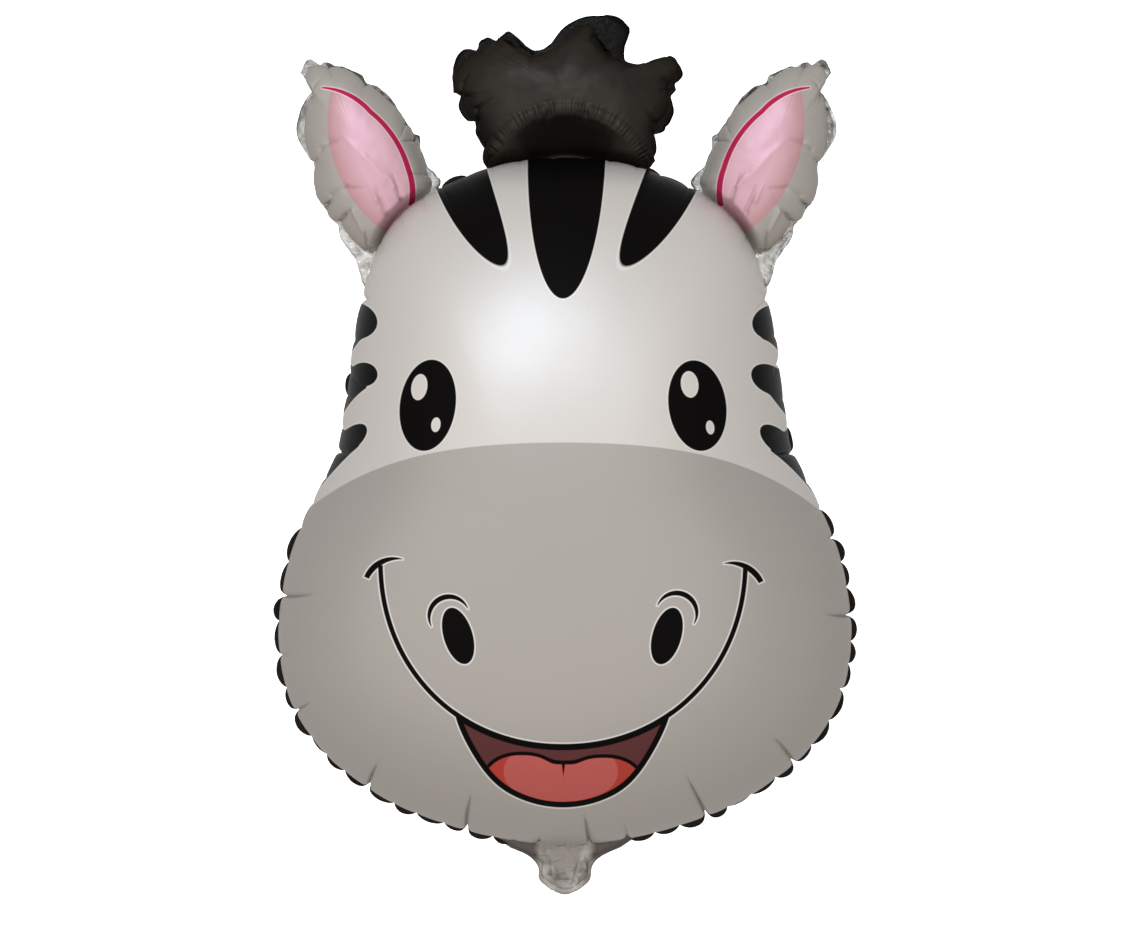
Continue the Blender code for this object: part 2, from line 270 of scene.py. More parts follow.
neck = {
    "outline": (
        (78, -424), (66, -444), (45, -454), (34, -463), (30, -472), (28, -484), (18, -493), (9, -498),
        (0, -500),
    ),
    "centre": (0, -458),
    "seamWidth": 0.0040,
    "pitch": 0.024,
    "thickness": 0.010,
    "swellPower": 2.0,
    "puff": 0.0001,
    "pinchDepth": 0.02,
    "creases": (
        (150, (-30, -340), 0.6), (235, (-13, -358), 0.5), (305, (10, -360), 0.5), (30, (32, -340), 0.6),
    ),
    "folds": (
        ((-17, -340), (-19, -360), 1.4, -1.8), ((-14, -341), (-13, -358), 1.3, 1.8),
        ((15, -338), (18, -352), 1.3, -1.6), ((12, -344), (7, -366), 1.3, 2.2),
        ((-10, -351), (-2, -355), 1.3, -1.2), ((-2, -355), (8, -352), 1.3, -1.2),
        ((-12, -362), (4, -363), 1.6, 1.6), ((-8, -363), (-9, -371), 1.2, 1.4),
        ((10, -360), (17, -356), 1.5, -1.4),
    ),
    "columns": 20,
    "rings": 44,
    "ringPower": 1.1,
    "wobble": 0.0005,
    "crumple": 0.0012,
    "seed": 1,
    "bandSeed": 41,
}


# Pinches between the long creases, with lengths in metres
shortPinch = {
    "scatter": 0.16,  # share of a scallop by which one stands off its even place
    "lengths": (0.006, 0.020),
    "depthVaries": (0.7, 1.4),  # times the part's own pinch depth
    "lean": 0.25,  # metres sideways for each metre inwards
}
leastCrease = 0.008  # metres
mostLean = 0.6

# How the foil yields at its pinches, its folds and its seam
yielding = {
    "leanDepth": 0.09,  # metres in from the seam where a pinch's lean has died out
    "outlinePower": 6,  # how soon the outline's small turns are evened out inwards
    "grooveFade": 0.55,
    "grooveHalfWidth": 0.0008,  # metres, at its inner end
    "grooveWidening": 0.0010,  # added at the seam
    "grooveSharpness": 1.3,
    "puffPower": 0.7,
    "puffDepth": 0.012,  # metres over which the puffing fades inwards
    "foldFaintWidth": 0.4,  # a fold's width and depth at its faint end, as shares
    "foldFaintDepth": 0.15,
    "foldSharpness": 1.4,
    "wobbleScales": (55, 130),
    "fineWobble": 0.6,
    "leastThickness": 0.02,  # share of the thickness left where a part is pinched flat
    "middleDepth": 0.2,  # metres from the seam, beyond the reach of all that it does
}


def pinchesOf(rim, part, creases):
    # (angle, length, depth, lean) where the seam is pinched: long creases, and short pinches between them
    chance = random.Random(part["seed"])
    shapes = random.Random(part["seed"] + 100)
    scatter, lean = shortPinch["scatter"], shortPinch["lean"]
    anchors = sorted((math.radians(c[0]) % math.tau, c) for c in creases)
    pinches = []
    for (start, crease), (end, _) in zip(anchors, anchors[1:] + [(anchors[0][0] + math.tau, None)]):
        footRadius = float(rim.radius(start)) - part["seamWidth"]
        foot = rim.centre + np.array((math.cos(start), math.sin(start))) * footRadius
        run = np.array(crease[1]) * mm - foot
        inward = -np.array((math.cos(start), math.sin(start)))
        along = float(run @ inward)
        across = float(run @ np.array((-math.sin(start), math.cos(start))))
        leaning = max(-mostLean, min(mostLean, across / along))
        pinches.append((start, max(along, leastCrease), crease[2] * mm, leaning))
        lobes = max(1, round((end - start) * float(rim.radius((start + end) / 2)) / part["pitch"]))
        for k in range(1, lobes):
            angle = start + (end - start) * (k + chance.uniform(-scatter, scatter)) / lobes
            length = shapes.uniform(*shortPinch["lengths"])
            deep = length * shapes.uniform(*shortPinch["depthVaries"]) * part["pinchDepth"]
            pinches.append((angle, length, deep, shapes.uniform(-lean, lean)))
    return pinches


def smooth(share):
    share = np.clip(share, 0, 1)
    return share * share * (3 - 2 * share)


def grooves(pinches, lobe, share, lobeWidth, inFromSeam):
    # Depth of the grooves at the pinches, which are narrower towards their inner ends
    length, depth = (np.array([p[k] for p in pinches]) for k in (1, 2))
    dent = 0
    for nearest, off in ((lobe, share), ((lobe + 1) % len(pinches), 1 - share)):
        fade = np.clip(1 - inFromSeam / length[nearest], 0, 1) ** yielding["grooveFade"]
        halfWidth = yielding["grooveHalfWidth"] + yielding["grooveWidening"] * fade
        profile = np.exp(-(off * lobeWidth / halfWidth) ** yielding["grooveSharpness"])
        dent = dent + depth[nearest] * fade * profile
    return dent


def foldDents(folds, x, y, side):
    # Depth of the folds in the front, each of which runs from its faint end to its deep one
    faintWidth, faintDepth = yielding["foldFaintWidth"], yielding["foldFaintDepth"]
    dent = 0
    for faint, deep, halfWidth, depth in folds:
        faint = np.array(faint) * mm
        run = np.array(deep) * mm - faint
        t = np.clip(((x - faint[0]) * run[0] + (y - faint[1]) * run[1]) / (run @ run), 0, 1)
        width = halfWidth * mm * (faintWidth + (1 - faintWidth) * t)
        gap = np.hypot(x - faint[0] - t * run[0], y - faint[1] - t * run[1]) / width
        profile = np.exp(-gap ** yielding["foldSharpness"]) * (side >= 0)
        dent = dent + depth * mm * (faintDepth + (1 - faintDepth) * t) * profile
    return dent


def addedToScene(name, data):
    made = bpy.data.objects.new(name, data)
    bpy.context.scene.collection.objects.link(made)
    return made


def foilPiece(name, net, inFromSeam):
    # Faces between the net's rows, and a fan that closes the middle of each side
    rows, across = net.shape[:2]
    middles = np.array([net[0].mean(axis=0), net[-1].mean(axis=0)])
    faces = []
    for row in range(rows - 1):
        here, below = row * across, (row + 1) * across
        for k in range(across):
            after = (k + 1) % across
            faces.append((here + k, here + after, below + after, below + k))
    front, back = rows * across, rows * across + 1
    lastRow = (rows - 1) * across
    for k in range(across):
        after = (k + 1) % across
        faces.append((after, k, front))
        faces.append((lastRow + k, lastRow + after, back))
    mesh = bpy.data.meshes.new(name)
    mesh.from_pydata(np.concatenate((net.reshape(-1, 3), middles)).tolist(), [], faces)
    depths = np.append(inFromSeam.ravel(), (yielding["middleDepth"], yielding["middleDepth"]))
    made = mesh.attributes.new("inFromSeam", "FLOAT", "POINT")
    made.data.foreach_set("value", depths.astype(np.float32))
    mesh.shade_smooth()
    return addedToScene(name, mesh)


def swollenFoil(name, rim, part, creases, folds, hollow=None):
    # One swollen part: a net of columns along the seam and rings towards the middle, front and back
    pinches = pinchesOf(rim, part, creases)
    lobes, columns, rings = len(pinches), part["columns"], part["rings"]
    shares = (1 - np.cos(math.pi * np.arange(columns) / columns)) / 2
    share = np.tile(shares, lobes)
    lobe = np.repeat(np.arange(lobes), columns)
    start = np.array([p[0] for p in pinches])
    end = np.append(start[1:], start[0] + math.tau)
    angle = start[lobe] + (end - start)[lobe] * share
    lean = np.array([p[3] for p in pinches])
    leanHere = lean[lobe] * (1 - share) + lean[(lobe + 1) % lobes] * share
    lobeWidth = (end - start)[lobe] * rim.radius(angle)

    tilt = math.pi / 2 * (np.arange(rings) / rings) ** part["ringPower"]
    reach = np.concatenate((np.cos(tilt[:0:-1]), np.cos(tilt)))[:, None]  # front middle, seam, back middle
    side = np.concatenate((np.ones(rings - 1), [0.0], -np.ones(rings - 1)))[:, None]
    footRadius = rim.radius(angle) - part["seamWidth"]
    inFromSeam = (1 - reach) * footRadius
    leaning = leanHere * inFromSeam * np.clip(1 - inFromSeam / yielding["leanDepth"], 0, 1)
    turned = angle + leaning / np.maximum(footRadius, 0.01)
    blend = reach ** yielding["outlinePower"]
    flat = reach * (rim.radius(turned) * blend + rim.meanRadius(turned) * (1 - blend) - part["seamWidth"])
    x = rim.centre[0] + np.cos(turned) * flat
    y = rim.centre[1] + np.sin(turned) * flat
    swell = np.sqrt(np.clip(1 - reach ** part["swellPower"], 0, None)) + 0 * x
    if hollow:
        swell = swell * hollow(x, y)
    net = np.stack((x, y, side * swell * part["thickness"] / 2), axis=2)

    alongSeam = np.roll(net, -1, axis=1) - np.roll(net, 1, axis=1)
    alongRing = np.gradient(net, axis=0)
    outward = np.cross(alongRing, alongSeam)
    outward /= np.linalg.norm(outward, axis=2, keepdims=True) + 1e-12

    puff = np.sin(math.pi * share) ** yielding["puffPower"] * np.exp(-inFromSeam / yielding["puffDepth"])
    shift = part["puff"] * puff - grooves(pinches, lobe, share, lobeWidth, inFromSeam)
    shift = shift - foldDents(folds, x, y, side)
    if part["wobble"]:
        coarse, fine = yielding["wobbleScales"]
        fineShare = yielding["fineWobble"]
        shift = shift + part["wobble"] * np.array([
            [noise.noise(Vector(p) * coarse) + fineShare * noise.noise(Vector(p) * fine) for p in row]
            for row in net
        ])
    net = net + outward * shift[..., None]
    net[..., 2] = np.maximum(net[..., 2] + seamHeight, 0)
    line = {"foot": net[rings - 1], "angle": angle, "share": share, "lobe": lobe, "lobes": lobes}
    return foilPiece(name, net, inFromSeam), line


headRim = Rim(closedLoop(bothHalves(head["outline"])), head["centre"])


def outsideHead(x, y):
    # Metres outside the head's outline
    dx, dy = x - headRim.centre[0], y - headRim.centre[1]
    return np.hypot(dx, dy) - headRim.radius(np.arctan2(dy, dx))


def pinchedFlat(part, x, y):
    # 1 where the part is free, and thin where the head's seam crosses it
    inside, width = part["pinchedFlat"]
    return smooth((outsideHead(x, y) + inside) / width)


def notTooThin(share):
    return share * (1 - yielding["leastThickness"]) + yielding["leastThickness"]


def earHollow(x, y):
    return notTooThin(pinchedFlat(ear, x, y))


def foreheadHollow(x, y):
    crown = (head["outline"][0][1] - head["centre"][1]) * unit
    return 1 - head["foreheadThinning"] * smooth((y - head["centre"][1] * unit) / crown)


def browHollow(x, y):
    # Below the arch a steep valley runs down to the head's seam
    centre = spot(mane["browCentre"])
    inside = mane["browRadius"] - np.hypot(x - centre[0], y - centre[1]) / unit
    width, fall = mane["browShoulder"]
    drop = fall * smooth((inside + width) / width) + (1 - fall) * np.clip(inside / mane["browSlope"], 0, 1)
    lip = sum(rise * np.exp(-((inside + above) / wide) ** 2) for above, wide, rise in mane["lip"])
    return notTooThin((1 - drop + lip) * pinchedFlat(mane, x, y))


# Seam: a band of flat foil that stands out from the swollen parts and puckers between the pinches
band = {
    "steps": 4,  # strips of faces across the band
    "tuckedIn": 0.003,  # how far its inner edge is hidden inside the swollen foil
    "mostCurl": 0.005,  # metres that its outer edge stands out of the seam's plane
    "curlShare": 0.6,  # of its width
    "leastReach": 0.0004,
    "scallopPower": 0.62,  # roundness of a scallop
    "crumpleScale": 160.0,
}


def treeNode(tree, kind, settings=(), inputs=()):
    made = tree.nodes.new(kind)
    for key, value in dict(settings).items():
        setattr(made, key, value)
    for key, value in dict(inputs).items():
        if isinstance(value, bpy.types.NodeSocket):
            tree.links.new(value, made.inputs[key])
        else:
            made.inputs[key].default_value = value
    return made


def bandTree():
    tree = bpy.data.node_groups.new("seamBand", "GeometryNodeTree")
    tree.interface.new_socket("Geometry", in_out="INPUT", socket_type="NodeSocketGeometry")
    for title, start in (("Reach", 1.0), ("Curl", 1.0), ("Crumple", head["crumple"])):
        made = tree.interface.new_socket(title, in_out="INPUT", socket_type="NodeSocketFloat")
        made.default_value = start
    tree.interface.new_socket("Foil", in_out="INPUT", socket_type="NodeSocketMaterial")
    tree.interface.new_socket("Geometry", in_out="OUTPUT", socket_type="NodeSocketGeometry")
    given = tree.nodes.new("NodeGroupInput").outputs

    def stored(title):
        made = treeNode(tree, "GeometryNodeInputNamedAttribute", {"data_type": "FLOAT_VECTOR"}, {
            "Name": title,
        })
        return made.outputs["Attribute"]

    def times(value, factor):
        return treeNode(tree, "ShaderNodeMath", {"operation": "MULTIPLY"}, {0: value, 1: factor}).outputs[0]

    def scaled(vector, factor):
        made = treeNode(tree, "ShaderNodeVectorMath", {"operation": "SCALE"}, {0: vector, "Scale": factor})
        return made.outputs[0]

    outwards, curls = stored("outwards"), stored("curls")
    shape = given["Geometry"]
    picked = None
    for step in range(band["steps"]):
        bend = ((step + 1) ** 2 - step ** 2) / band["steps"] ** 2
        out = scaled(outwards, times(given["Reach"], 1 / band["steps"]))
        rise = scaled(curls, times(given["Curl"], bend))
        move = treeNode(tree, "ShaderNodeVectorMath", {"operation": "ADD"}, {0: out, 1: rise})
        widen = treeNode(tree, "GeometryNodeExtrudeMesh", {"mode": "EDGES"}, {
            "Mesh": shape, "Offset": move.outputs[0], "Offset Scale": 1.0,
        })
        if picked:
            tree.links.new(picked, widen.inputs["Selection"])
        shape, picked = widen.outputs["Mesh"], widen.outputs["Top"]
    crinkles = treeNode(tree, "ShaderNodeTexNoise", {"noise_dimensions": "3D"}, {
        "Scale": band["crumpleScale"], "Detail": 2.0,
    })
    centred = treeNode(tree, "ShaderNodeVectorMath", {"operation": "SUBTRACT"}, {
        0: crinkles.outputs["Color"], 1: (0.5, 0.5, 0.5),
    })
    crumple = scaled(centred.outputs[0], given["Crumple"])
    moved = treeNode(tree, "GeometryNodeSetPosition", {}, {"Geometry": shape, "Offset": crumple})
    real = treeNode(tree, "GeometryNodeRealizeInstances", {}, {"Geometry": moved.outputs[0]})
    painted = treeNode(tree, "GeometryNodeSetMaterial", {}, {
        "Geometry": real.outputs[0], "Material": given["Foil"],
    })
    tree.links.new(painted.outputs[0], tree.nodes.new("NodeGroupOutput").inputs["Geometry"])
    return tree


def seamBand(name, part, rim, line, foil, outerRim=None, shadeOf=None, mirrored=False):
    # A ring of edges just inside the swollen foil, widened outwards by the tree
    chance = random.Random(part["bandSeed"] + mirrored)
    share, lobe, foot, angle = line["share"], line["lobe"], line["foot"], line["angle"]
    middles = [float(angle[lobe == k].mean()) for k in range(line["lobes"])]
    arc = np.sin(math.pi * share)
    if outerRim:
        reach = np.hypot(foot[:, 0] - rim.centre[0], foot[:, 1] - rim.centre[1])
        outer = np.maximum(outerRim.radius(angle) - reach, band["leastReach"])
    else:
        heights = np.array([headScallop(rim, a, chance) for a in middles])
        outer = heights[lobe] * arc ** band["scallopPower"]
    bends = np.array([chance.uniform(-1, 1) for _ in middles])
    direction = np.stack((np.cos(angle), np.sin(angle), 0 * share), axis=1)
    outwards = direction * (band["tuckedIn"] + outer)[:, None]
    curls = np.zeros_like(outwards)
    curls[:, 2] = bends[lobe] * arc * np.minimum(outer * band["curlShare"], band["mostCurl"])
    inner = foot - direction * band["tuckedIn"]
    inner[:, 2] = seamHeight
    mesh = bpy.data.meshes.new(name + "Ring")
    count = len(inner)
    mesh.from_pydata(inner.tolist(), [(k, (k + 1) % count) for k in range(count)], [])
    for title, values in (("outwards", outwards), ("curls", curls)):
        made = mesh.attributes.new(title, "FLOAT_VECTOR", "POINT")
        made.data.foreach_set("vector", values.astype(np.float32).ravel())
    # Each lobe's painted shade, kept in the 'tone' attribute for the bare foil's colour
    shades = np.array([shadeOf(a, chance) if shadeOf else 1.0 for a in middles])
    mesh.attributes.new("tone", "FLOAT", "POINT").data.foreach_set("value", shades[lobe].astype(np.float32))
    ring = addedToScene(name + "Ring", mesh)
    mesh.materials.append(foil)
    modifier = ring.modifiers.new("seamBand", "NODES")
    modifier.node_group = sharedBandTree
    values = {"Reach": 1.0, "Curl": 1.0, "Crumple": part["crumple"], "Foil": foil}
    for item in sharedBandTree.interface.items_tree:
        if item.in_out == "INPUT" and item.name in values:
            modifier[item.identifier] = values[item.name]
    thick = ring.modifiers.new("thickness", "SOLIDIFY")
    thick.thickness = balloon["foilThickness"]
    thick.offset = 0
    bpy.context.view_layer.update()
    flat = bpy.data.meshes.new_from_object(ring.evaluated_get(bpy.context.evaluated_depsgraph_get()))
    flat.name = name
    flat.shade_smooth()
    bpy.data.objects.remove(ring)
    return addedToScene(name, flat)


def headScallop(rim, angle, chance):
    # Full scallops round the muzzle; up the cheeks and over the crown the seam is folded flat
    y = float(rim.centre[1] + math.sin(angle) * rim.radius(angle))
    lowShare, low = head["lowScallop"]
    openShare, openHeight = head["openFold"]
    size = chance.uniform(*head["scallops"]) * head["seamWidth"] * (low if chance.random() < lowShare else 1)
    if y > head["cheekLine"]:
        return size * (openHeight if chance.random() < openShare else head["flatFold"])
    return size


# Painted shade of one lobe of an ear's bare seam, drawn from the range for its angle
def earSeamShade(angle, chance):
    turn = angle % math.tau
    least, most = next((least, most) for upTo, least, most in ear["seamShades"] if turn <= upTo)
    return chance.uniform(least, most)


def mirroredEarSeamShade(angle, chance):
    return earSeamShade(math.pi - angle, chance)


# Shader recipes: sums on surface values are written as sums
def mathNode(operation, swapped=False):
    def worked(wire, other):
        values = (other, wire) if swapped else (wire, other)
        return wire.recipe.math(operation, *values)
    return worked


class Wire:
    def __init__(self, recipe, socket):
        self.recipe = recipe
        self.socket = socket

    __add__ = mathNode("ADD")
    __radd__ = mathNode("ADD", swapped=True)
    __sub__ = mathNode("SUBTRACT")
    __rsub__ = mathNode("SUBTRACT", swapped=True)
    __mul__ = mathNode("MULTIPLY")
    __rmul__ = mathNode("MULTIPLY", swapped=True)
    __truediv__ = mathNode("DIVIDE")
    __rtruediv__ = mathNode("DIVIDE", swapped=True)
    __pow__ = mathNode("POWER")

    def __neg__(self):
        return self.recipe.math("MULTIPLY", self, -1.0)

    def __abs__(self):
        return self.recipe.math("ABSOLUTE", self)


class Recipe:
    def __init__(self, name):
        self.material = bpy.data.materials.new(name)
        self.material.use_nodes = True
        self.tree = self.material.node_tree
        self.tree.nodes.clear()

    def node(self, kind, settings=(), inputs=()):
        values = {
            key: value.socket if isinstance(value, Wire) else value for key, value in dict(inputs).items()
        }
        return treeNode(self.tree, kind, settings, values)

    def wire(self, kind, output, settings=(), inputs=()):
        return Wire(self, self.node(kind, settings, inputs).outputs[output])

    def math(self, operation, *values, clamp=False):
        return self.wire(
            "ShaderNodeMath", 0, {"operation": operation, "use_clamp": clamp}, dict(enumerate(values)),
        )

    def most(self, *values):
        made = values[0]
        for value in values[1:]:
            made = self.math("MAXIMUM", made, value)
        return made

    def least(self, *values):
        made = values[0]
        for value in values[1:]:
            made = self.math("MINIMUM", made, value)
        return made

    def colours(self, mask, under, over):
        return self.wire(
            "ShaderNodeMix", 2, {"data_type": "RGBA", "clamp_factor": True}, {0: mask, 6: under, 7: over},
        )

    def place(self):
        return self.wire("ShaderNodeTexCoord", "Object")

    def parts(self, vector):
        made = self.node("ShaderNodeSeparateXYZ", {}, {0: vector})
        return [Wire(self, socket) for socket in made.outputs]

    def noise(self, at, scale, detail=2.0, roughness=0.5):
        return self.wire(
            "ShaderNodeTexNoise", "Fac", {"noise_dimensions": "3D"},
            {"Vector": at, "Scale": scale, "Detail": detail, "Roughness": roughness},
        )

    def attribute(self, name):
        return self.wire("ShaderNodeAttribute", "Fac", {"attribute_type": "GEOMETRY", "attribute_name": name})

    def bump(self, height):
        # Height in millimetres
        return self.wire("ShaderNodeBump", "Normal", {}, {"Height": height, "Distance": mm, "Strength": 1.0})

    def finish(self, colour, roughness, normal, constants):
        shader = self.node("ShaderNodeBsdfPrincipled", {}, {
            "Base Color": colour, "Roughness": roughness, "Normal": normal, **constants,
        })
        out = self.node("ShaderNodeOutputMaterial")
        self.tree.links.new(shader.outputs[0], out.inputs["Surface"])
        return self.material


def srgb(red, green, blue):
    # A colour as a screen shows it, 0 to 255
    def linear(value):
        value /= 255
        return value / 12.92 if value <= 0.04045 else ((value + 0.055) / 1.055) ** 2.4
    return (linear(red), linear(green), linear(blue), 1.0)


ink = {
    "white": srgb(199, 192, 185),
    "line": srgb(211, 205, 198),  # thin gap round every black shape
    "muzzle": srgb(163, 156, 149),
    "black": srgb(13, 11, 10),
    "eyeLight": srgb(203, 195, 188),
    "mouth": srgb(90, 50, 50),
    "tongue": srgb(180, 88, 82),
    "tongueEdge": srgb(170, 62, 52),
    "pink": srgb(203, 161, 170),
    # painted shade on the pink beside the leaf's outer edge
    "pinkShade": srgb(178, 136, 136),
    "pinkLight": srgb(214, 190, 186),
    "pinkLine": srgb(170, 34, 76),
    "silver": srgb(163, 156, 148),
    "mane": srgb(65, 60, 54),
    "maneDark": srgb(34, 33, 31),
    "maneSeam": srgb(26, 25, 24),
    "seamBlack": srgb(34, 29, 26),
    "neck": srgb(136, 130, 123),
    # painted shade on the neck's bare corners
    "cornerShade": srgb(84, 76, 71),
    # bare foil: the two ends of its painted shade and painted highlights
    "bareShade": srgb(74, 71, 68),
    "bareHighlight": srgb(200, 196, 190),
    # bare neck foil: the two ends of its painted shade and painted highlights
    "neckShade": srgb(84, 80, 75),
    "neckHighlight": srgb(176, 171, 163),
}
edgeSoftness = 0.7  # millimetres over which a printed edge changes colour
paleGap = 1.15  # millimetres of pale line round the black shapes
eyeDistance = 2.8  # metres from the seam's plane to the camera
farOff = 1000  # millimetres, outside every shape


def cover(recipe, distance):
    # 1 inside a printed shape and 0 outside, from the distance to its edge
    return recipe.math("MULTIPLY_ADD", distance, -1 / edgeSoftness, 0.5, clamp=True)


def oval(recipe, x, y, centre, half, lean=0.0, power=2.0):
    # Distance to the edge of an oval whose top leans to the right by so many degrees
    c, s = math.cos(math.radians(lean)), math.sin(math.radians(lean))
    dx, dy = x - centre[0], y - centre[1]
    u = abs(dx * c - dy * s) / half[0]
    v = abs(dx * s + dy * c) / half[1]
    size = recipe.math("MAXIMUM", (u ** power + v ** power) ** (1 / power), 0.001)
    slope = ((u ** (power - 1) / half[0]) ** 2 + (v ** (power - 1) / half[1]) ** 2) ** 0.5
    return (size - 1) * size ** (power - 1) / (slope + 1e-5)


def circleThrough(a, b, c):
    ax, ay, bx, by, cx, cy = *a, *b, *c
    d = 2 * (ax * (by - cy) + bx * (cy - ay) + cx * (ay - by))
    ux = ((ax**2 + ay**2) * (by - cy) + (bx**2 + by**2) * (cy - ay) + (cx**2 + cy**2) * (ay - by)) / d
    uy = ((ax**2 + ay**2) * (cx - bx) + (bx**2 + by**2) * (ax - cx) + (cx**2 + cy**2) * (bx - ax)) / d
    return (ux, uy), math.hypot(ax - ux, ay - uy)


def arcEdge(recipe, x, y, points, inside):
    # Distance to an edge that is an arc through three points, less than 0 on the side of the point inside
    centre, radius = circleThrough(*points)
    away = ((x - centre[0]) ** 2 + (y - centre[1]) ** 2) ** 0.5 - radius
    if math.hypot(inside[0] - centre[0], inside[1] - centre[1]) < radius:
        return away
    return -away


def stroke(recipe, x, y, points, halfWidths):
    # A curved pen stroke through three points, with its half width at each of them
    centre, radius = circleThrough(*points)
    turns = [math.atan2(p[1] - centre[1], p[0] - centre[0]) for p in points]
    span = (turns[2] - turns[0]) % math.tau
    if (turns[1] - turns[0]) % math.tau > span:
        span -= math.tau
    middle = turns[0] + span / 2
    c, s = math.cos(middle), math.sin(middle)
    dx, dy = x - centre[0], y - centre[1]
    along = recipe.math("ARCTAN2", dy * c - dx * s, dx * c + dy * s) / (span / 2)
    start, half, end = halfWidths
    width = half + along * ((end - start) / 2) + along * along * ((end + start) / 2 - half)
    away = (dx * dx + dy * dy) ** 0.5
    offEnd = (abs(along) - 1) * abs(span / 2 * radius)
    return recipe.most(abs(away - radius) - width, offEnd - 0.4)


def crownStripe(recipe, x, y, stripe):
    # Between two arcs that run in from the crown's seam and meet in a round tip
    sides = [arcEdge(recipe, x, y, points, stripe["inside"]) for points in stripe["edges"]]
    return recipe.math("SMOOTH_MAX", *sides, stripe["tip"])


def cheekStripe(recipe, x, y, stripe):
    # A leaning oval, and a tail above an arc that runs from the oval down to the seam
    start, middle, end = stripe["tail"]
    centre, radius = circleThrough(start, middle, end)
    run = (centre[1] - start[1], start[0] - centre[0])
    if run[0] * (end[0] - start[0]) + run[1] * (end[1] - start[1]) < 0:
        run = (-run[0], -run[1])
    before = (x - start[0]) * (-run[0] / radius) + (y - start[1]) * (-run[1] / radius)
    tailShape = face["tails"]
    outwards, up = tailShape["inside"]
    above = (middle[0] + math.copysign(outwards, start[0]), middle[1] + up)
    edge = arcEdge(recipe, x, y, stripe["tail"], above)
    lowest = (end[1] - tailShape["past"]) - y
    tail = recipe.math("SMOOTH_MAX", edge, recipe.most(before, lowest), tailShape["corner"])
    blob = oval(recipe, x, y, stripe["at"], stripe["half"], stripe["lean"])
    return recipe.math("SMOOTH_MIN", blob, tail, tailShape["join"])


def stripesOf(recipe, x, y):
    stripe = face["foreheadStripe"]
    shapes = [oval(recipe, x, y, stripe["at"], stripe["half"], stripe["lean"])]
    shapes += [crownStripe(recipe, x, y, stripe) for stripe in face["crownStripes"]]
    return shapes + [cheekStripe(recipe, x, y, stripe) for stripe in face["cheekStripes"]]


